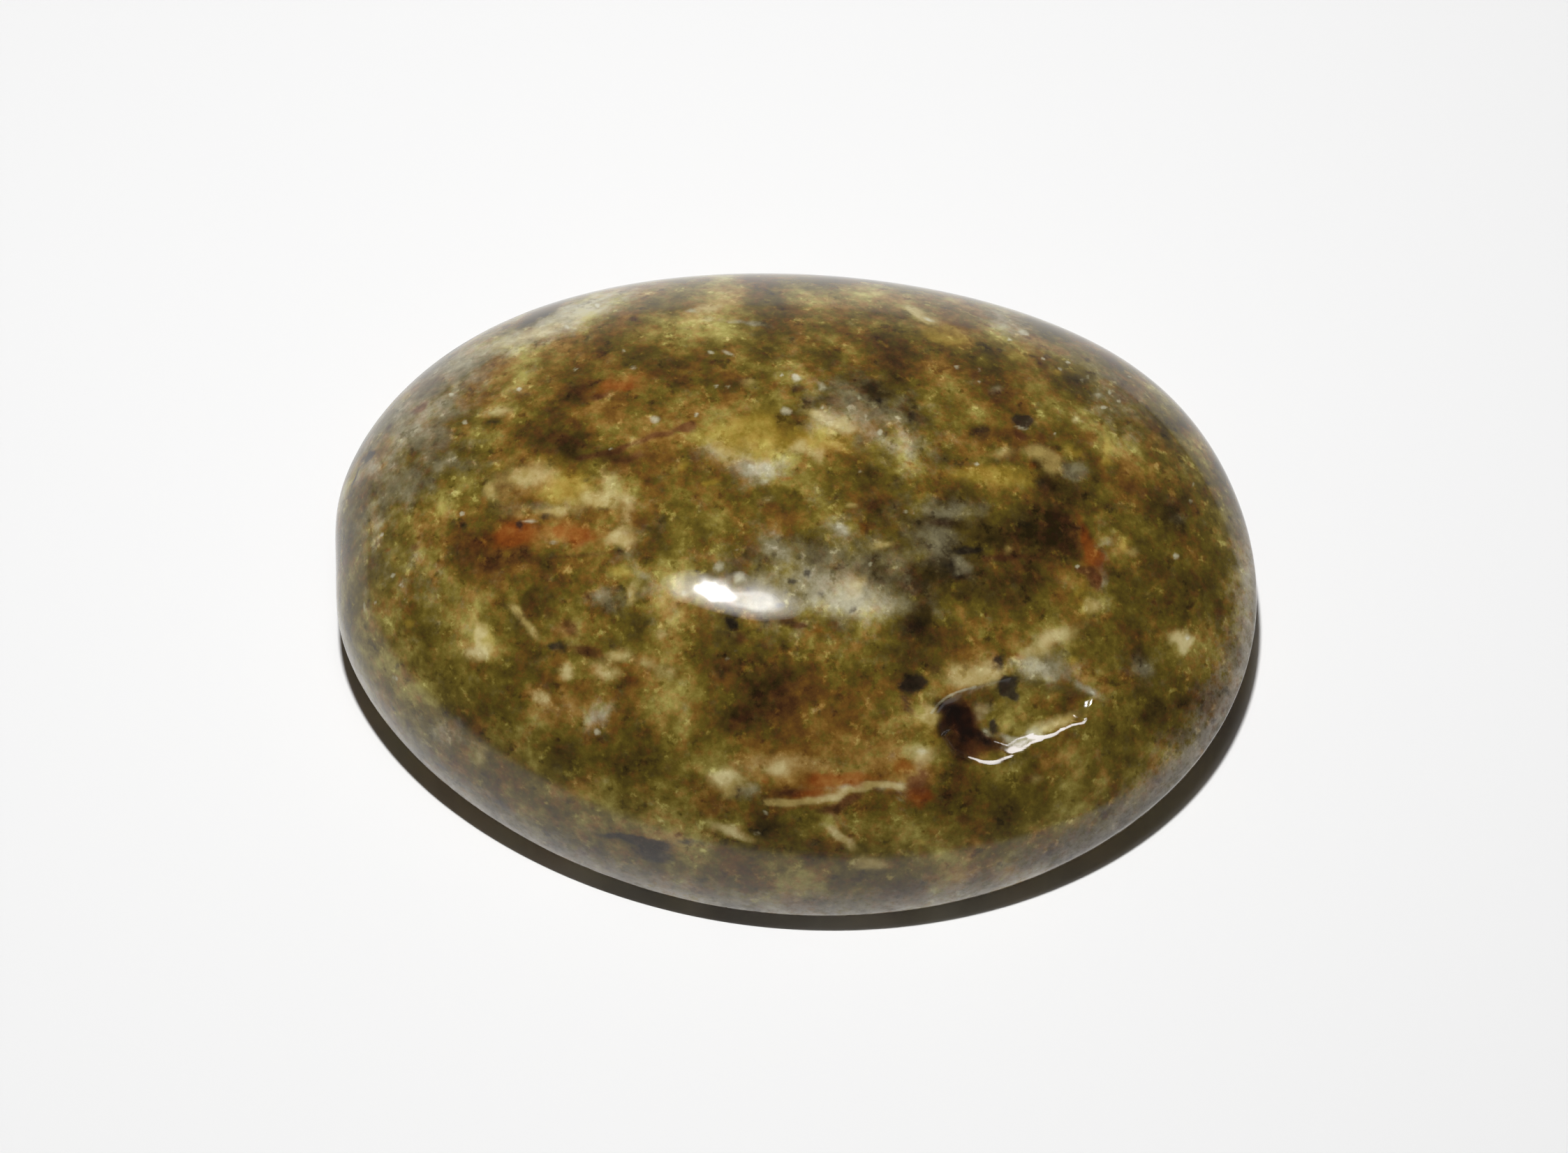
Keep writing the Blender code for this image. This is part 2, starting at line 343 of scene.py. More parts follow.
    (977, 1135, 15, 8, 30, 0.5), (907, 1115, 11, 8, 30, 0.5), (925, 1113, 8, 8, 0, -0.7),
    (956, 1076, 8, 9, 0, 0.7), (1640, 1130, 60, 30, -40, -0.2), (1280, 870, 40, 14, 0, 0.4),
)
# Patches browner than the ground, or greener with a minus sign.
WARMTH_PATCHES = (
    (1110, 540, 165, 60, 0, 0.3), (830, 585, 110, 55, -10, 0.35), (700, 790, 80, 35, 0, 0.9),
    (790, 765, 95, 30, 0, 0.7), (955, 660, 52, 34, 0, 0.9), (1130, 750, 46, 34, 0, 0.8),
    (1270, 790, 100, 85, 0, -0.5), (1400, 790, 130, 75, 0, -0.2), (1150, 1030, 160, 50, 0, 0.6),
    (1150, 1112, 110, 30, 0, 1.2), (1555, 790, 35, 50, 0, 0.8), (1395, 965, 52, 30, 0, 0.8),
    (820, 915, 52, 32, 0, 0.6), (1480, 625, 42, 22, 0, 0.5), (1350, 560, 60, 80, 0, 0.3),
    (1310, 1120, 34, 44, 0, 1.2), (1640, 700, 60, 30, 0, 0.4), (1560, 960, 60, 30, 0, 0.3),
    (560, 860, 85, 110, 0, -0.5), (620, 960, 130, 90, 0, -0.6), (1670, 870, 110, 170, 0, -0.6),
    (1600, 1100, 115, 70, 0, -0.5), (850, 1110, 140, 60, 0, -0.5), (1420, 1150, 100, 50, 0, -0.6),
    (640, 660, 80, 40, -30, -0.4), (1010, 480, 60, 24, 0, -0.3), (1303, 645, 60, 32, 0, -0.6),
    (1150, 835, 110, 48, 0, -0.5), (870, 840, 60, 48, 0, -0.5), (1350, 770, 40, 40, 0, -0.5),
    (1000, 770, 90, 38, 0, -0.4), (1440, 685, 56, 13, 0, -0.4), (1130, 1180, 60, 20, 0, -0.5),
)
# Cream and tan chalcedony; the row at (1515, 1034) is painted light on the pit's lit lower wall.
CREAM_PATCHES = (
    (770, 478, 50, 9, -24, 0.4), (742, 488, 34, 8, -22, 0.3), (860, 445, 40, 9, -10, 0.25),
    (750, 680, 30, 14, -5, 0.85), (858, 717, 29, 13, 0, 0.85), (722, 716, 28, 18, -20, 0.35),
    (871, 690, 15, 9, 30, 0.5), (700, 702, 6, 8, 0, 0.9), (785, 732, 32, 8, 0, 0.6),
    (888, 774, 20, 11, 0, 0.9), (893, 742, 11, 24, 0, 0.5), (904, 852, 8, 15, 25, 0.9),
    (950, 908, 10, 7, 0, 0.6), (680, 936, 14, 8, 0, 1.1), (690, 912, 8, 20, -10, 0.6),
    (887, 939, 15, 8, 0, 0.9), (866, 962, 21, 11, 30, 0.8), (808, 964, 11, 10, 0, 0.8),
    (955, 965, 15, 10, 0, 0.6), (924, 950, 12, 8, 0, 0.5), (1015, 458, 10, 4, 0, 0.8),
    (1015, 442, 19, 6, 0, 0.7), (1325, 455, 20, 7, 28, 1.1), (1307, 446, 11, 3, 35, 0.9),
    (1490, 648, 19, 10, 10, 0.9), (1507, 666, 13, 10, 0, 0.8), (1437, 648, 15, 8, 0, 0.6),
    (1566, 868, 12, 9, 0, 0.9), (1505, 920, 40, 11, -30, 0.85), (1394, 968, 34, 13, 5, 1.1),
    (1335, 1022, 9, 20, 15, 0.8), (1320, 1080, 22, 12, 0, 0.8), (1043, 1121, 21, 15, 0, 0.9),
    (1113, 1104, 13, 8, 0, 0.6), (1125, 1094, 62, 12, 0, 0.45), (1205, 1200, 22, 6, 38, 1),
    (1050, 1193, 29, 6, 20, 0.9), (1245, 1238, 26, 7, 0, 0.8), (1683, 912, 10, 9, 0, 1.1),
    (1702, 914, 7, 9, 0, 1), (1694, 929, 6, 8, 0, 0.9), (1172, 594, 20, 8, 15, 0.8),
    (1212, 610, 18, 9, 0, 0.7), (1145, 641, 12, 9, 0, 0.7), (1170, 652, 12, 10, 0, 0.6),
    (740, 875, 11, 7, 40, 0.8), (750, 888, 12, 5, 50, 0.7), (765, 905, 12, 5, 50, 0.6),
    (776, 999, 13, 8, 30, 0.7), (688, 1086, 10, 18, 10, 0.5), (1515, 1034, 30, 8, -20, 0.9),
    (1406, 1016, 12, 14, 0, 0.5), (1070, 548, 13, 6, 0, 0.6), (714, 591, 13, 6, -8, 0.7),
    (803, 732, 8, 6, 0, 0.8), (1226, 838, 18, 14, -30, 0.6), (1264, 780, 19, 5, -5, 0.6),
    (1102, 718, 12, 6, 0, 0.5), (1220, 725, 9, 4, 0, 0.7), (1447, 789, 6, 8, 0, 0.6),
    (1624, 791, 10, 6, 0, 0.6), (1540, 600, 5, 6, 0, 0.6), (1485, 1116, 8, 6, 0, 0.6),
)
# Yellow ochre stain; the row at (1515, 1030) is painted light on the pit's lit lower wall.
OCHRE_STAINS = (
    (1040, 640, 34, 24, 0, 0.7), (1110, 612, 60, 16, 0, 0.6), (1400, 676, 44, 11, 0, 0.6),
    (1350, 482, 34, 12, 12, 0.6), (640, 740, 40, 16, -20, 0.4), (1340, 1060, 26, 20, 0, 0.5),
    (808, 700, 28, 26, 0, 0.9), (860, 716, 26, 12, 0, 0.45), (800, 657, 22, 7, 0, 0.6),
    (1095, 618, 60, 25, 0, 0.55), (1210, 640, 62, 20, 10, 0.5), (1437, 685, 50, 12, 0, 0.8),
    (1550, 860, 11, 24, 0, 0.8), (1570, 870, 10, 12, 0, 0.5), (889, 818, 12, 11, 0, 0.7),
    (1538, 645, 13, 8, 20, 0.8), (1584, 640, 5, 12, -5, 0.9), (1586, 660, 5, 6, 0, 0.9),
    (692, 915, 9, 23, -15, 0.9), (1640, 675, 16, 10, 0, 0.5), (1362, 480, 27, 11, 10, 0.6),
    (1610, 783, 6, 10, -40, 1), (1330, 1028, 10, 18, 15, 0.7), (1290, 1100, 15, 9, 0, 0.7),
    (835, 1138, 28, 13, 0, 0.4), (588, 894, 8, 6, 0, 0.9), (1319, 1207, 5, 4, 0, 0.9),
    (581, 568, 8, 3, -35, 1), (1513, 531, 9, 5, 30, 0.8), (979, 666, 6, 6, 0, 1),
    (1022, 690, 6, 5, 0, 1), (1010, 693, 5, 4, 0, 0.9), (774, 448, 24, 3.5, -26, 1.1),
    (1540, 948, 8, 6, 0, 0.7), (1285, 756, 10, 10, 0, 0.6), (725, 795, 7, 6, 0, 0.6),
    (1460, 505, 26, 11, 0, 0.5), (980, 533, 10, 5, 0, 0.6), (713, 671, 14, 9, 0, 0.5),
    (1515, 1030, 24, 6, -20, 0.5), (1043, 1128, 16, 10, 0, 0.4), (743, 872, 12, 6, 30, 0.4),
)
# Orange and red rust.
RUST_STAINS = (
    (735, 763, 28, 16, -5, 1), (829, 765, 18, 14, 20, 1), (790, 768, 62, 13, 0, 0.3),
    (885, 552, 34, 9, -14, 0.9), (1563, 790, 13, 32, -10, 1), (1570, 802, 7, 7, 0, 0.6),
    (1205, 1118, 44, 9, -3, 1.1), (1160, 1138, 26, 6, -3, 0.9), (1292, 1100, 14, 9, 0, 0.8),
    (1318, 1140, 13, 12, 0, 1.2), (1126, 685, 12, 3, 0, 0.7), (906, 973, 9, 6, 0, 0.6),
    (1096, 1120, 7, 5, 0, 0.8), (1172, 1115, 9, 6, 0, 0.5), (555, 788, 6, 3, 0, 0.7),
    (893, 953, 12, 2.5, 5, 0.7), (1458, 940, 10, 7, 0, 0.6), (1317, 925, 8, 6, 0, 0.5),
    (1480, 668, 6, 6, 0, 0.7), (1236, 757, 7, 9, 0, 0.5), (700, 780, 40, 16, 0, 0.3),
    (800, 762, 5, 5, 0, 0.9), (1172, 905, 9, 4, 0, 0.5), (1285, 755, 7, 6, 0, 0.4),
)
# Dark red-brown iron stain.
OXBLOOD_STAINS = (
    (985, 612, 9, 6, 0, 1), (855, 568, 13, 5, -10, 1), (900, 656, 32, 7, -4, 0.8),
    (885, 675, 26, 12, 0, 0.4), (1145, 557, 9, 5, 0, 0.8), (1188, 573, 25, 7, 0, 0.5),
    (1462, 623, 15, 6, 15, 1.1), (814, 900, 15, 11, 0, 0.8), (783, 877, 10, 10, 0, 0.5),
    (840, 936, 21, 10, 12, 0.9), (1128, 890, 19, 8, 5, 0.8), (1147, 895, 8, 3, 0, 0.9),
    (1438, 800, 36, 5, -5, 0.9), (1350, 749, 25, 5, 0, 0.6), (1563, 828, 6, 14, -35, 1.2),
    (1550, 818, 10, 5, 0, 0.8), (1127, 1134, 22, 6, 0, 0.9), (1217, 1146, 21, 7, -28, 1.1),
    (1186, 1160, 18, 6, 0, 0.8), (1197, 1172, 5, 9, 0, 0.6), (1274, 1136, 15, 3, 0, 0.7),
    (1316, 1122, 14, 24, 10, 0.9), (1382, 1174, 11, 10, 0, 0.6), (1469, 1115, 11, 8, 0, 0.6),
    (834, 1223, 9, 4, 15, 1.1), (852, 1216, 6, 3, 0, 0.6), (873, 1245, 8, 3, 30, 0.7),
    (1636, 544, 6, 2.5, 30, 0.9), (1541, 1224, 13, 2.5, -28, 1), (1571, 1207, 6, 2.5, -20, 0.7),
    (607, 580, 5, 8, 30, 0.9), (597, 589, 9, 5, -20, 0.8), (557, 611, 7, 2.5, -40, 0.8),
    (908, 457, 7, 3.5, 0, 0.9), (594, 785, 6, 6, 0, 0.8), (1059, 1029, 13, 6, 0, 0.5),
    (1148, 1048, 12, 5, 10, 0.5), (960, 1098, 8, 6, 0, 0.4), (1059, 915, 8, 8, 0, 0.8),
    (1500, 694, 13, 14, 0, 0.5), (1010, 645, 14, 6, 0, 0.4), (835, 795, 44, 4, -5, 0.6),
    (1339, 959, 11, 6, 0, 0.5), (1279, 973, 12, 6, 0, 0.5), (1675, 863, 6, 3, -20, 0.8),
    (1303, 1015, 9, 15, 0, 0.7), (1412, 1064, 32, 10, 22, 1.15), (1372, 1020, 22, 18, 0, 0.9),
    (1378, 1056, 19, 28, -18, 0.85),
)
# Nearly black specks with a blue cast.
INK_SPECKS = (
    (1309, 981, 14, 14, 0, 1.4), (1466, 604, 10, 6.5, 5, 2.2), (1444, 988, 12, 10, 0, 1.3),
    (1453, 1000, 9, 6, 45, 1), (1430, 948, 9, 13, 0, 0.9), (1447, 974, 9, 6, 0, 0.8),
    (1425, 1041, 5, 8, 0, 1.2), (1048, 893, 9, 8, 0, 1), (745, 752, 6, 7, 0, 1),
    (783, 740, 9, 5, 0, 0.7), (794, 927, 17, 8, 10, 0.9), (1388, 788, 25, 5, -3, 1),
    (932, 1209, 24, 7, 12, 1.5), (900, 1201, 26, 4, 8, 0.9), (870, 1196, 24, 3, 5, 0.5),
    (936, 1226, 26, 8, 14, 1.0), (985, 1206, 18, 5, 5, 0.7),
    (523, 657, 6, 8, 35, 0.9), (531, 649, 4, 5, 0, 1), (507, 686, 3, 13, 32, 1),
    (1375, 826, 9, 5, 20, 0.8), (1301, 1012, 8, 12, 0, 0.5), (1495, 690, 10, 13, 0, 0.6),
    (1405, 617, 15, 10, 10, 0.7), (755, 565, 10, 4, 0, 0.6), (1500, 511, 7, 4, 0, 0.7),
    (1247, 553, 9, 6, 40, 0.6), (1259, 573, 9, 7, 40, 0.6), (1306, 597, 8, 7, 0, 0.7),
    (1369, 1020, 18, 14, 0, 0.7), (1380, 1052, 12, 20, -15, 0.5), (1411, 1060, 28, 6, 25, 0.7),
    (888, 843, 9, 7, 0, 0.5),
    (930, 889, 9, 8, 0, 0.5), (1308, 897, 24, 13, -25, 0.6), (839, 690, 6, 4, 0, 0.6),
    (1135, 832, 8, 5, 0, 0.8), (1128, 847, 6, 4, 0, 0.7), (1157, 822, 5, 6, 0, 0.8),
    (1118, 868, 9, 5, 0, 0.7), (1100, 805, 8, 5, 0, 0.5), (1147, 800, 6, 4, 0, 0.6),
    (1176, 852, 5, 6, 0, 0.6), (1193, 820, 7, 4, 0, 0.4), (1220, 872, 10, 5, -40, 0.7),
    (663, 754, 6, 5, 0, 0.6), (1361, 811, 7, 10, 0, 0.6), (719, 1154, 22, 3.5, 34, 0.7),
    (662, 1126, 22, 2.5, 30, 0.7), (631, 1098, 12, 2, 32, 0.8), (572, 1042, 2, 12, -38, 0.6),
    (562, 1018, 1.5, 12, -35, 0.6), (569, 958, 4, 8, 0, 0.6), (1090, 924, 9, 6, 0, 0.5),
    (1526, 937, 9, 7, 0, 0.5), (1466, 750, 16, 10, 0, 0.4), (1692, 729, 5, 7, 0, 0.5),
    (1128, 892, 14, 4, 5, 0.5), (704, 605, 15, 3, -8, 0.6),
)
# Milky grey-green quartz, and painted reflection: the pale veil on the upper left end, and the glow
# beside the highlight, which is partly painted glow and partly milky quartz.
HAZE_AND_PAINTED_VEIL = (
    (548, 690, 40, 90, 25, 0.5), (600, 600, 60, 70, 40, 0.4), (810, 456, 96, 16, -24, 0.75),
    (650, 530, 70, 40, -35, 0.35), (1150, 840, 82, 44, 0, 0.62), (1224, 845, 24, 18, -20, 0.3),
    (1265, 800, 85, 75, 0, 0.3), (1110, 784, 27, 13, 35, 0.8),
    (1078, 672, 31, 19, 0, 0.9), (1235, 590, 78, 36, 18, 0.6), (1303, 652, 38, 20, 10, 0.2),
    (1345, 775, 24, 24, 0, 0.8), (1358, 730, 35, 11, 0, 0.8), (1378, 812, 12, 12, 0, 1),
    (1495, 956, 37, 15, 0, 0.9), (1539, 675, 15, 11, 0, 0.9), (1578, 785, 9, 23, 0, 0.45),
    (1555, 988, 18, 5, 30, 0.9), (1636, 957, 19, 12, 0, 0.8), (1070, 1131, 15, 10, 0, 0.7),
    (865, 857, 24, 16, 0, 0.6), (852, 1030, 18, 18, 0, 0.7), (1290, 862, 42, 18, 0, 0.4),
    (1405, 1018, 16, 17, 0, 0.5), (1440, 460, 30, 14, 20, 0.7), (1600, 560, 60, 34, 40, 0.4),
    (638, 1056, 32, 18, 20, 0.5), (1577, 826, 6, 13, -15, 0.7), (1203, 757, 12, 7, 40, 0.9),
    (1413, 1050, 7, 6, 0, 1), (1243, 1127, 56, 5, -2, 0.6), (1290, 1144, 4, 14, 0, 0.6),
    (1075, 463, 22, 3, 8, 0.8), (989, 445, 8, 3, 0, 0.8), (1425, 558, 10, 5, -10, 0.6),
    (1684, 740, 14, 12, 0, 0.4), (780, 725, 40, 8, 0, 0.4), (910, 810, 20, 60, 0, 0.3),
    (600, 830, 60, 40, 0, 0.2), (660, 1034, 7, 7, 0, 0.6), (1030, 646, 34, 12, -10, 0.5),
)
# White quartz flecks, and painted glints: the sparkles of tiny crystals, the halo round the
# highlight, the glow on the pit's lower wall and a pale line of light along the pit's upper rim.
FLECKS_AND_PAINTED_GLINTS = (
    (1466, 1061, 27, 9, -22, 0.95), (1440, 1056, 12, 6, 10, 0.55), (985, 850, 14, 8, 0, 0.4),
    (1058, 830, 8, 8, 0, 0.8), (1031, 812, 8, 7, 0, 0.7), (1088, 866, 22, 12, 10, 0.6),
    (1140, 541, 6, 5, 0, 1.1), (1178, 553, 7, 5, 30, 0.7), (1120, 538, 2.5, 2.5, 0, 0.9),
    (1043, 506, 9, 3, 20, 0.8), (1018, 505, 4, 2.5, 0, 0.9), (1230, 569, 7, 4, 45, 0.6),
    (1466, 477, 7, 3, 15, 1.1), (1446, 487, 2.5, 2.5, 0, 1), (1371, 527, 3.5, 2.5, -30, 1.1),
    (1494, 514, 2.5, 3, -30, 1.1), (1519, 527, 2.5, 2.5, 0, 1.1), (1529, 520, 2.5, 2.5, 0, 1.1),
    (743, 557, 3, 2.5, 0, 1.1), (647, 565, 3, 2.5, 0, 1.1), (667, 605, 3, 2.5, 0, 1.1),
    (811, 469, 2.5, 2.5, 0, 1.1), (857, 437, 2.5, 2.5, 0, 1.1), (824, 528, 2.5, 2.5, 0, 1.1),
    (892, 503, 3, 3, 0, 0.8), (907, 527, 4, 3.5, 0, 0.6), (938, 601, 7, 5, 0, 0.8),
    (998, 593, 4, 3.5, 0, 0.8), (1126, 589, 7, 5, 0, 0.9), (1177, 584, 3, 3, 0, 0.7),
    (1240, 596, 3, 3, 0, 0.7), (1261, 619, 3.5, 3.5, 0, 1.1), (1075, 668, 3.5, 3.5, 0, 1.1),
    (1095, 690, 8, 6, 0, 0.6), (1026, 553, 3, 3, 0, 0.8), (1043, 554, 2.5, 2.5, 0, 0.8),
    (1398, 665, 3.5, 3, 0, 0.9), (1402, 530, 3, 3, 0, 0.6), (1403, 546, 2.5, 2.5, 0, 0.8),
    (1550, 545, 2.5, 2.5, 0, 0.9), (1558, 540, 2.5, 2.5, 0, 0.9), (1590, 561, 2.5, 2.5, 0, 1.1),
    (1573, 566, 6, 2.5, 0, 0.9), (1603, 575, 2.5, 2.5, 0, 1), (1582, 583, 4, 2.5, 10, 1.1),
    (1511, 621, 2.5, 2.5, 0, 0.8), (1618, 540, 3, 2.5, 0, 0.7), (662, 736, 3.5, 3, 0, 1.1),
    (547, 765, 3, 3, 0, 1), (563, 824, 3.5, 3, 0, 0.9), (575, 839, 3.5, 2.5, 0, 0.9),
    (578, 857, 3, 2.5, 0, 0.6), (521, 870, 2, 6.5, 0, 0.6), (538, 864, 2.5, 2.5, 0, 0.7),
    (566, 972, 3, 2.5, 0, 1), (875, 643, 3.5, 2.5, 0, 0.8), (792, 777, 8, 4, -10, 0.5),
    (758, 747, 11, 3, 0, 0.7), (904, 851, 4, 6, 25, 0.6), (1042, 942, 3.5, 3.5, 0, 0.6),
    (1054, 931, 3.5, 3.5, 0, 0.5), (1247, 808, 3, 3, 0, 0.9), (1100, 718, 3.5, 3, 0, 0.6),
    (1296, 733, 3, 2.5, 0, 0.8), (1308, 735, 3.5, 2.5, 0, 0.6), (1233, 675, 3, 3, 0, 0.6),
    (1543, 812, 3, 3, 0, 1.1), (1685, 797, 3.5, 4, 0, 1.1), (1709, 694, 2.5, 2.5, 0, 1),
    (1705, 718, 2.5, 3, 0, 0.8), (1691, 742, 3.5, 3.5, 0, 0.5), (1359, 728, 3, 3, 0, 0.8),
    (1462, 613, 12, 2.5, 8, 0.6), (1701, 912, 3.5, 4, 0, 1), (854, 1050, 4, 4, 0, 1.1),
    (1097, 1165, 3, 3, 0, 0.8), (1085, 1194, 3.5, 3.5, 0, 0.9), (1201, 754, 3, 3, 0, 0.8),
    (1121, 788, 3, 3.5, 0, 0.6), (1054, 788, 3.5, 2.5, 0, 0.6), (617, 598, 2.5, 2.5, 0, 0.6),
    (565, 599, 2.5, 2.5, -30, 0.8), (1330, 457, 10, 3, 20, 0.8), (1282, 1276, 2.5, 2.5, 0, 0.7),
    (1565, 994, 4, 2.5, 30, 0.8), (1319, 1078, 10, 6, 0, 0.6), (1495, 950, 18, 6, 0, 0.4),
    (1640, 953, 4, 3, 0, 0.6), (1412, 1048, 2.5, 2.5, 0, 1), (1208, 613, 3.5, 3, 0, 0.6),
)
# Painted glints: white strokes along the pit's lower rim, where its wall catches the lamp.
PAINTED_GLINTS = (
    (1464, 1064, 20, 5, -24, 0.56), (1448, 1074, 9, 4, -20, 0.56), (1500, 1056, 14, 2.5, -14, 0.75),
    (1420, 1092, 12, 2.2, 0, 0.9),
)
# Thin healed cracks, and painted glints along the pit's rims: mineral, half width, strength and the
# points that each passes through.
VEINS = (
    ("oxblood", 4.5, 0.8, ((829, 657), (880, 646), (925, 628), (960, 619), (992, 607))),
    (
        "cream",
        4.5,
        1.1,
        ((1099, 1149), (1135, 1151), (1172, 1146), (1197, 1142), (1214, 1131), (1243, 1127)),
    ),
    ("cream", 4, 0.9, ((1243, 1127), (1271, 1124), (1296, 1129))),
    ("painted_glint", 1.4, 0.95, ((1388, 1085), (1407, 1091), (1421, 1093), (1449, 1083))),
    ("painted_glint", 1.2, 0.85, ((1446, 1078), (1464, 1073), (1478, 1064), (1492, 1060))),
    ("painted_glint", 1.5, 0.95, ((1474, 1056), (1496, 1056), (1511, 1052), (1523, 1044))),
    ("painted_glint", 1.3, 0.95, ((1520, 1046), (1536, 1039), (1552, 1036), (1556, 1029))),
    ("painted_glint", 1.1, 0.7, ((1424, 1062), (1442, 1068), (1458, 1058), (1480, 1052))),
    ("frost_and_glint", 2.0, 0.75, ((1334, 1022), (1344, 1010), (1356, 999), (1370, 992), (1398, 984))),
)
# The close-up's marks fade into the strewn ones where the stone turns edge-on to the camera.
EDGE_ON = -0.05
FADE_SPAN = 0.2
# Every mark's edge wanders on these scales, in pixels, by these shares of its half width.
FINE_RAG, MIDDLE_RAG, COARSE_RAG = 9, 22, 55
WIDE_WANDER = 0.7
NARROW_WANDER = 0.35
VEIN_WANDER = 0.8
SMALL_MARK = 20
STREWN_REACH = 0.58
SEED = 11

# Unless it is seeded, the vector noise of drift starts from another place in each run.
noise.seed_set(SEED)
to_camera = np.array(camera.location) - places
facing = (vertex_normals(stone.data) * to_camera).sum(axis=1)
facing /= np.linalg.norm(to_camera, axis=1)
seen = np.clip((facing - EDGE_ON) / FADE_SPAN, 0, 1)
seen = seen * seen * (3 - 2 * seen)
shown = in_photo(places)
plan_reach = np.linalg.norm(places[:, :2], axis=1, keepdims=True).clip(1e-6)
hidden = places[:, :2] * (1 + places[:, 2:] / plan_reach) / PIXEL_SIZE


def drift(cell):
    """A smooth random shift at each point of the stone, in cells of one size."""
    shifts = [noise.noise_vector(Vector(place) / cell) for place in places]
    return np.array(shifts)[:, :2]


ragged = {cell: drift(cell * PIXEL_SIZE) for cell in (FINE_RAG, MIDDLE_RAG, COARSE_RAG)}


def shape_distance(view, x, y, half_length, half_width, turn):
    """Distance from a mark's middle, which is 1 on its ragged edge."""
    size = math.sqrt(half_length * half_width)
    coarse, fine = (MIDDLE_RAG, FINE_RAG) if size < SMALL_MARK else (COARSE_RAG, MIDDLE_RAG)
    shift = half_width * (WIDE_WANDER * ragged[coarse] + NARROW_WANDER * ragged[fine])
    offset = view + shift - (x, y)
    turned = math.radians(turn)
    along = offset @ (math.cos(turned), math.sin(turned))
    across = offset @ (-math.sin(turned), math.cos(turned))
    return np.hypot(along / half_length, across / half_width)


def strengths(view, marks):
    """How strongly each point of the stone is coloured by marks of one kind."""
    total = np.zeros(len(view))
    for x, y, half_length, half_width, turn, strength in marks:
        distance = shape_distance(view, x, y, half_length, half_width, turn)
        total += strength * np.exp2(-(distance**2))
    return total


def strewn(marks, chance):
    """The same kinds of marks at new places over the hidden side."""
    reach = (cad_high - cad_low) * STREWN_REACH / PIXEL_SIZE
    spread = []
    for x, y, half_length, half_width, turn, strength in marks:
        x, y = chance.uniform(-1, 1, 2) * (reach.x, reach.y)
        spread.append((x, y, half_length, half_width, chance.uniform(0, 180), strength))
    return spread


def vein_strengths(view, half_width, strength, points):
    """How strongly each point of the stone is coloured by one thin vein."""
    nearest = np.full(len(view), np.inf)
    wavy = view + half_width * VEIN_WANDER * ragged[MIDDLE_RAG]
    for start, end in zip(points, points[1:]):
        run = np.subtract(end, start)
        share = np.clip((wavy - start) @ run / (run @ run), 0, 1)
        gap = np.linalg.norm(wavy - start - share[:, None] * run, axis=1)
        nearest = np.minimum(nearest, gap)
    return strength * np.exp2(-((nearest / half_width) ** 2))


MARKS = {
    "shade": TONE_AND_PAINTED_LIGHT_PATCHES,
    "warmth": WARMTH_PATCHES,
    "cream": CREAM_PATCHES,
    "ochre": OCHRE_STAINS,
    "rust": RUST_STAINS,
    "oxblood": OXBLOOD_STAINS,
    "ink": INK_SPECKS,
    "haze_and_veil": HAZE_AND_PAINTED_VEIL,
    "frost_and_glint": FLECKS_AND_PAINTED_GLINTS,
    "painted_glint": PAINTED_GLINTS,
}
chance = np.random.default_rng(SEED)
for mineral, marks in MARKS.items():
    front = strengths(shown, marks)
    for vein_mineral, half_width, strength, points in VEINS:
        if vein_mineral == mineral:
            front += vein_strengths(shown, half_width, strength, points)
    back = strengths(hidden, strewn(marks, chance))
    values = seen * front + (1 - seen) * back
    attribute = stone.data.attributes.new(mineral, "FLOAT", "POINT")
    attribute.data.foreach_set("value", values)


# Stone's finish
# Mossy jasper is fine quartz full of green, brown and red mineral dust. Tumbling leaves it with a
# wet shine over a mottled ground that runs from moss green to umber. A pale band low on the near
# edge is a painted reflection of the white table, and the polish is duller low on the left end.
GROUND_STEPS = (0.0, 0.16, 0.3, 0.41, 0.5, 0.59, 0.7, 0.85, 1.0)
GREEN_DUST = (
    "#231C0B",
    "#352A11",
    "#473A16",
    "#544718",
    "#60521C",
    "#706125",
    "#867838",
    "#A39850",
    "#C1B76E",
)
BROWN_DUST = (
    "#2C1B0F",
    "#422915",
    "#563919",
    "#65451B",
    "#72511F",
    "#83602A",
    "#957339",
    "#AD9152",
    "#C6AF70",
)
MINERAL_STEPS = (0.15, 0.5, 0.9)
# Colours of the painted reflection of the white table on the lower near rim.
PAINTED_RIM_REFLECTION = ("#776F62", "#A39B8C", "#CFC9BC")
# The painted reflection reaches up to a ragged line above the girdle, which bows up towards both
# ends.
REFLECTION_TOP = 0.0024
REFLECTION_SOFT = 0.0010
REFLECTION_RAGGED = 0.006
GIRDLE_BOW = 4.75
POLISHED_ROUGHNESS = 0.035
SATIN_ROUGHNESS = 0.04
WORN_ROUGHNESS = 0.2
QUARTZ_IOR = 1.54


def linear(colour):
    """Turns an sRGB hex colour to the linear colour that a socket takes."""
    shares = [int(colour[place : place + 2], 16) / 255 for place in (1, 3, 5)]
    return [s / 12.92 if s <= 0.04045 else ((s + 0.055) / 1.055) ** 2.4 for s in shares] + [1.0]


jasper = bpy.data.materials.new("tumbled_mossy_jasper")
jasper.use_nodes = True
nodes, links = jasper.node_tree.nodes, jasper.node_tree.links
shader = nodes["Principled BSDF"]


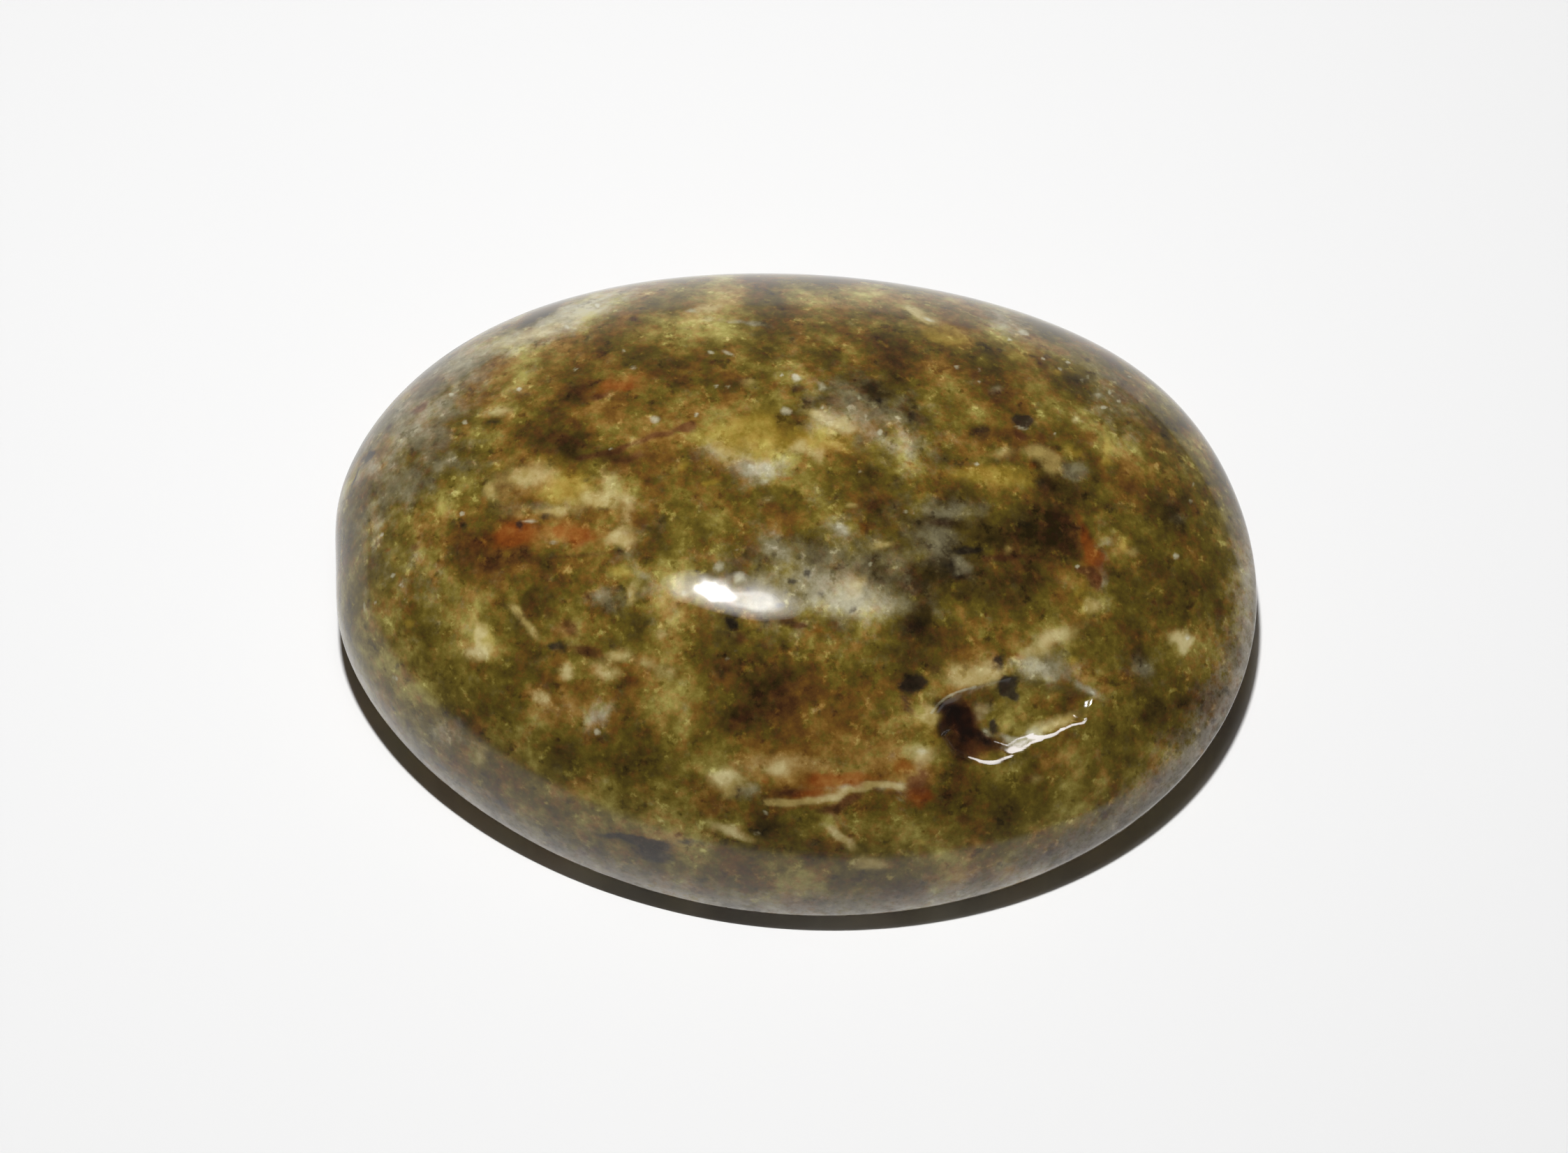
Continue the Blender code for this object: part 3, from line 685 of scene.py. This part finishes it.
def add(kind, inputs, output=0, **settings):
    """Adds a node with its settings and links, and returns the output asked for."""
    node = nodes.new("ShaderNode" + kind)
    for name, value in settings.items():
        setattr(node, name, value)
    for socket, value in inputs.items():
        if isinstance(value, bpy.types.NodeSocket):
            links.new(value, node.inputs[socket])
        else:
            node.inputs[socket].default_value = value
    return node.outputs[output]


# A Map Range node with this setting turns a pattern (its input 0) to soft patches: 0 from the
# first limit (input 1), rising to 1 at the second one (input 2).
SOFTLY = {"interpolation_type": "SMOOTHSTEP"}
surface = add("TexCoord", {}, "Object")


def mineral_cloud(size_mm, offset, detail, roughness, distortion=0.0):
    """A cloudy pattern, about a half on average, whose largest lumps have a real size. The offset
    shifts and turns it, so that each pattern has its own place in the stone."""
    settings = {
        "Vector": add("Mapping", {"Vector": surface, "Location": offset, "Rotation": offset}),
        "Scale": 1000 / size_mm,
        "Detail": detail,
        "Roughness": roughness,
        "Distortion": distortion,
    }
    return add("TexNoise", settings)


def dust_colour(level, steps, colours):
    """The colours of one kind of mineral dust, from its darkest level to its palest."""
    socket = add("ValToRGB", {"Fac": level})
    elements = socket.node.color_ramp.elements
    while len(elements) < len(steps):
        elements.new(0.5)
    for element, place, colour in zip(elements, steps, colours):
        element.position = place
        element.color = linear(colour)
    return socket


mark = {mineral: add("Attribute", {}, "Fac", attribute_name=mineral) for mineral in MARKS}

# Clouds of dust 2 to 3 mm wide, specks and flakes of about half a millimetre in them, and the
# finer rag that the edges of the placed marks follow.
clouds = mineral_cloud(2.8, (0.3, 0.1, 0.7), 8, 0.61, 0.1)
speckle = mineral_cloud(0.6, (1.3, 2.1, 0.4), 5, 0.68)
hue_clouds = mineral_cloud(2.2, (2.3, 0.6, 1.7), 5, 0.58, 0.1)
hue_speckle = mineral_cloud(0.45, (0.6, 1.3, 2.7), 5, 0.7)
pale_flakes = mineral_cloud(0.55, (1.9, 0.5, 2.2), 4, 0.6)
pale_flakes = add("MapRange", {0: pale_flakes, 1: 0.57, 2: 0.74}, **SOFTLY)
dark_flakes = mineral_cloud(0.65, (2.7, 1.5, 0.2), 4, 0.6)
dark_flakes = add("MapRange", {0: dark_flakes, 1: 0.43, 2: 0.27}, **SOFTLY)
milk = mineral_cloud(0.7, (0.9, 1.7, 2.9), 6, 0.68)
rag = mineral_cloud(0.9, (3.1, 0.2, 1.1), 7, 0.7)
fine_rag = mineral_cloud(0.3, (0.1, 3.2, 2.1), 4, 0.6)

# How pale the ground is, and how brown: a base level, and the weight of each pattern on it.
tone = -0.59
for pattern, weight in (
    (clouds, 1.66),
    (speckle, 0.6),
    (pale_flakes, 0.26),
    (dark_flakes, -0.22),
    (mark["shade"], 0.18),
):
    tone = add("Math", {0: pattern, 1: weight, 2: tone}, operation="MULTIPLY_ADD")
brownness = -3.0
for pattern, weight in ((hue_clouds, 2.9), (hue_speckle, 3.9), (mark["warmth"], 0.45)):
    brownness = add("Math", {0: pattern, 1: weight, 2: brownness}, operation="MULTIPLY_ADD")
brownness = add("MapRange", {0: brownness, 1: 0.0, 2: 1.1}, **SOFTLY)
green = dust_colour(tone, GROUND_STEPS, GREEN_DUST)
brown = dust_colour(tone, GROUND_STEPS, BROWN_DUST)
colour = add("Mix", {0: brownness, 6: green, 7: brown}, 2, data_type="RGBA")


def laid(below, name, opacity, colours, ragged_by=0.9, soft=0.4, texture=rag):
    """Lays one mineral over what is below it, with a ragged edge; the ground's mottling stays."""
    level = {0: texture, 1: ragged_by, 2: -0.5 * ragged_by}
    level = add("Math", level, operation="MULTIPLY_ADD")
    level = add("Math", {0: mark[name], 1: 1.0, 2: level}, operation="MULTIPLY_ADD")
    cover = add("MapRange", {0: level, 1: 0.5 - soft, 2: 0.5 + soft}, **SOFTLY)
    cover = add("Math", {0: cover, 1: opacity}, operation="MULTIPLY")
    own = dust_colour(tone, MINERAL_STEPS, colours)
    return add("Mix", {0: cover, 6: below, 7: own}, 2, data_type="RGBA")


# Milky quartz, with a painted veil of reflection on the upper left end and a partly painted glow.
colour = laid(colour, "haze_and_veil", 0.65, ("#453D2C", "#8A8469", "#CDC9BA"), 1.5, 0.45, milk)
colour = laid(colour, "ochre", 0.6, ("#5C4813", "#93792A", "#BFA953"))
colour = laid(colour, "cream", 0.78, ("#7A6431", "#AD985A", "#D3C696"))
colour = laid(colour, "rust", 0.78, ("#4A200C", "#7D3C14", "#9E5E27"))
colour = laid(colour, "oxblood", 0.75, ("#26120D", "#4B281A", "#7A4A30"))
colour = laid(colour, "ink", 0.85, ("#15110E", "#26201D", "#453C38"), 0.8, 0.35, fine_rag)
# Pale quartz flecks, with painted glints and painted halo among them.
colour = laid(colour, "frost_and_glint", 0.68, ("#8E8868", "#B5B092", "#DFDDC8"), 0.5, 0.3, fine_rag)
# Painted glints, laid over everything as near-white strokes.
colour = laid(colour, "painted_glint", 0.95, ("#D8CCC4", "#EFE8E2", "#F6F2EE"), 0.7, 0.25, fine_rag)

# The painted reflection of the white table: below its ragged top, above the underside, on the near
# side and in milky patches.
x, y, z = (add("SeparateXYZ", {0: surface}, axis) for axis in "XYZ")
bow = add("Math", {0: x, 1: x}, operation="MULTIPLY")
above_girdle = add("Math", {0: bow, 1: -GIRDLE_BOW, 2: z}, operation="MULTIPLY_ADD")
ragged_height = add("Math", {0: milk, 1: REFLECTION_RAGGED, 2: above_girdle}, operation="MULTIPLY_ADD")
ragged_height = add(
    "Math", {0: rag, 1: REFLECTION_RAGGED / 2, 2: ragged_height}, operation="MULTIPLY_ADD"
)
reflection_top = REFLECTION_TOP + 0.75 * REFLECTION_RAGGED
rim_reflection = {0: ragged_height, 1: reflection_top + REFLECTION_SOFT, 2: reflection_top - REFLECTION_SOFT}
rim_reflection = add("MapRange", rim_reflection, **SOFTLY)
for pattern, bare, worn in ((y, 0.009, 0.001), (above_girdle, 0.0002, 0.0006), (milk, 0.32, 0.66)):
    limit = add("MapRange", {0: pattern, 1: bare, 2: worn}, **SOFTLY)
    rim_reflection = add("Math", {0: rim_reflection, 1: limit}, operation="MULTIPLY")
reflection_colour = dust_colour(tone, MINERAL_STEPS, PAINTED_RIM_REFLECTION)
colour = add("Mix", {0: rim_reflection, 6: colour, 7: reflection_colour}, 2, data_type="RGBA")
links.new(colour, shader.inputs["Base Color"])

# A glossy polish with faint satin patches over a millimetre wide, duller low on the left end.
satin = mineral_cloud(1.3, (2.2, 1.4, 0.5), 2, 0.5)
satin = add("MapRange", {0: satin, 1: 0.45, 2: 0.7}, **SOFTLY)
low_down = add("MapRange", {0: z, 1: 0.0082, 2: 0.0042}, **SOFTLY)
left_end = add("MapRange", {0: x, 1: -0.008, 2: -0.016}, **SOFTLY)
dull = add("Math", {0: low_down, 1: left_end}, operation="MULTIPLY")
roughness = {0: satin, 1: SATIN_ROUGHNESS, 2: POLISHED_ROUGHNESS}
roughness = add("Math", roughness, operation="MULTIPLY_ADD")
roughness = add("Math", {0: dull, 1: WORN_ROUGHNESS, 2: roughness}, operation="MULTIPLY_ADD")
links.new(roughness, shader.inputs["Roughness"])
shader.inputs["IOR"].default_value = QUARTZ_IOR
shader.inputs["Sheen Weight"].default_value = 0.12
shader.inputs["Sheen Roughness"].default_value = 0.3
stone.data.materials.append(jasper)


# Table
# A white laminate table top, matt enough to show no reflection, far wider than the picture. It is
# white as far as the picture shows it and behind the stone, and greyer further out.
TABLE_WIDTH = 0.32
WHITE_REACH = 0.031
WHITE_BEHIND = 0.090
GREY_REACH = 0.085
PICTURE_RATIO = 1.3
NEAR_WHITE = "#F3F3F3"
FAR_GREY = "#A0A09F"

bpy.ops.object.select_all(action="DESELECT")
bpy.ops.mesh.primitive_plane_add(size=TABLE_WIDTH)
table = bpy.context.object
table.name = "table_top"
white_laminate = bpy.data.materials.new("matt_white_laminate")
white_laminate.use_nodes = True
nodes, links = white_laminate.node_tree.nodes, white_laminate.node_tree.links
table_shader = nodes["Principled BSDF"]
table_place = add("TexCoord", {}, "Object")
shifted = add("VectorMath", {0: table_place, 1: (0.0, -WHITE_BEHIND, 0.0)})
sides = add("VectorMath", {0: shifted}, operation="ABSOLUTE")
across = add("SeparateXYZ", {0: sides}, "X")
across = add("Math", {0: across, 1: PICTURE_RATIO}, operation="DIVIDE")
along = add("SeparateXYZ", {0: sides}, "Y")
along = add("Math", {0: along, 1: WHITE_BEHIND}, operation="SUBTRACT")
distance = add("Math", {0: across, 1: along}, operation="MAXIMUM")
outwards = add("MapRange", {0: distance, 1: WHITE_REACH, 2: GREY_REACH}, **SOFTLY)
whites = {0: outwards, 6: linear(NEAR_WHITE), 7: linear(FAR_GREY)}
links.new(add("Mix", whites, 2, data_type="RGBA"), table_shader.inputs["Base Color"])
table_shader.inputs["Roughness"].default_value = 0.9
table.data.materials.append(white_laminate)
table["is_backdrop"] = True


# Light
# A small lamp close over the lens, with a soft glow round it, gives one highlight that is crisp in
# its middle and a dark narrow shadow. The rest of the room is dark, but its horizon is pale, most
# of all behind the stone.
LAMP_DISTANCE = 0.230
LAMP_LENGTH = 0.016
LAMP_WIDTH = 0.0012
LAMP_SHIFT = 0.0075
LAMP_DIRECTION = Vector((-0.02, 0.06, 1.0)).normalized()
LAMP_TURN = math.radians(-28)
LAMP_POWER = 0.522
# Each ellipse lies this much further off than the one before it, so that its light adds to theirs.
LAMP_GAP = 0.0004
# Soft glow round the lamp, drawn as ellipses one inside another: whole length, whole width, shift
# along the lamp, how many ellipses, and the light of each in watts per square metre.
GLOWS = ((0.070, 0.042, -0.002, 10, 4.0), (0.030, 0.019, -0.010, 5, 8.5))
HORIZON_STRENGTH = 0.75
HORIZON_FADE = math.sin(math.radians(11))
# The horizon's light round the stone: its mean, its swing towards GLOW_BEARING, and its least.
GLOW_MEAN = 0.06
GLOW_SWING = 0.75
GLOW_BEARING = math.radians(110)
GLOW_LEAST = 0.16
ROOM_STRENGTH = 0.015
ROOM_WHITE = "#F4EEEE"

facing_stone = LAMP_DIRECTION.to_track_quat("Z", "Y").to_matrix()
turned = facing_stone @ Euler((0.0, 0.0, LAMP_TURN)).to_matrix()
lamps = [(LAMP_LENGTH, LAMP_WIDTH, LAMP_SHIFT, LAMP_POWER)]
for length, width, shift, count, light in GLOWS:
    for step in range(1, count + 1):
        share = step / count
        power = light * math.pi / 4 * length * width * share**2
        lamps.append((length * share, width * share, shift, power))
for place, (length, width, shift, power) in enumerate(lamps):
    lamp_data = bpy.data.lights.new("lamp", "AREA")
    lamp_data.shape = "ELLIPSE"
    lamp_data.size = length
    lamp_data.size_y = width
    lamp_data.energy = power
    lamp = bpy.data.objects.new("lamp", lamp_data)
    bpy.context.scene.collection.objects.link(lamp)
    away = LAMP_DISTANCE + LAMP_GAP * place
    lamp.location = aim + LAMP_DIRECTION * away + turned @ Vector((shift, 0.0, 0.0))
    lamp.rotation_euler = turned.to_euler()

room = bpy.data.worlds.new("dark_room")
room.use_nodes = True
bpy.context.scene.world = room
nodes, links = room.node_tree.nodes, room.node_tree.links
way = add("TexCoord", {}, "Generated")
east, north, up = (add("SeparateXYZ", {0: way}, axis) for axis in "XYZ")
height = add("Math", {0: up, 1: 0.0}, operation="MAXIMUM")
fade = add("Math", {0: height, 1: -1 / HORIZON_FADE}, operation="MULTIPLY")
fade = add("Math", {0: fade}, operation="EXPONENT")
swing_east = GLOW_SWING * math.cos(GLOW_BEARING)
swing_north = GLOW_SWING * math.sin(GLOW_BEARING)
behind = add("Math", {0: east, 1: swing_east, 2: GLOW_MEAN}, operation="MULTIPLY_ADD")
behind = add("Math", {0: north, 1: swing_north, 2: behind}, operation="MULTIPLY_ADD")
behind = add("Math", {0: behind, 1: GLOW_LEAST}, operation="MAXIMUM")
glow = add("Math", {0: fade, 1: behind}, operation="MULTIPLY")
strength = {0: glow, 1: HORIZON_STRENGTH, 2: ROOM_STRENGTH}
strength = add("Math", strength, operation="MULTIPLY_ADD")
backdrop = nodes["Background"]
backdrop.inputs["Color"].default_value = linear(ROOM_WHITE)
links.new(strength, backdrop.inputs["Strength"])
bpy.context.scene.view_settings.view_transform = "Standard"

low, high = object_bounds()
